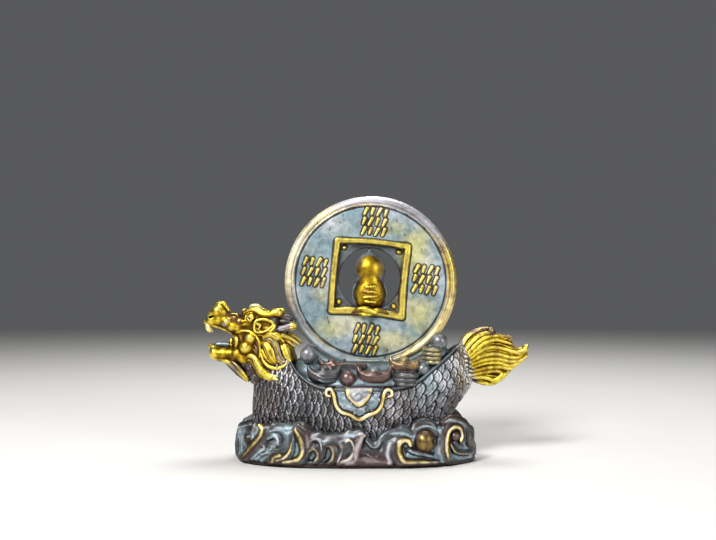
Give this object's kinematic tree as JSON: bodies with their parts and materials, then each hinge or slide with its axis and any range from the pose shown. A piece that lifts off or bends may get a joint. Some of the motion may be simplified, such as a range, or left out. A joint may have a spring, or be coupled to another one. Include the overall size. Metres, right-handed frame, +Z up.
{
  "type": "dragon boat ornament",
  "caption": "Cast dragon-headed fish boat on a plinth of waves, heaped with ingots and pearls, with a large upright coin whose framed round hole holds a gourd.",
  "frame": {"origin": "middle of the bounding box, at the underside of the plinth", "axes": "+Z up, +X from the dragon's head towards the tail, -Y towards the side that is seen first"},
  "size_m": [0.1405, 0.0526, 0.1123],
  "materials": {
    "patinated_brass": "dark bronze patina with a blue-grey bloom on the hull and waves, gilded head, tail, frame and strokes, and a blue-green coin face"
  },
  "bodies": {
    "root": {"dragon_boat_ornament": "patinated_brass"}
  },
  "joints": []
}
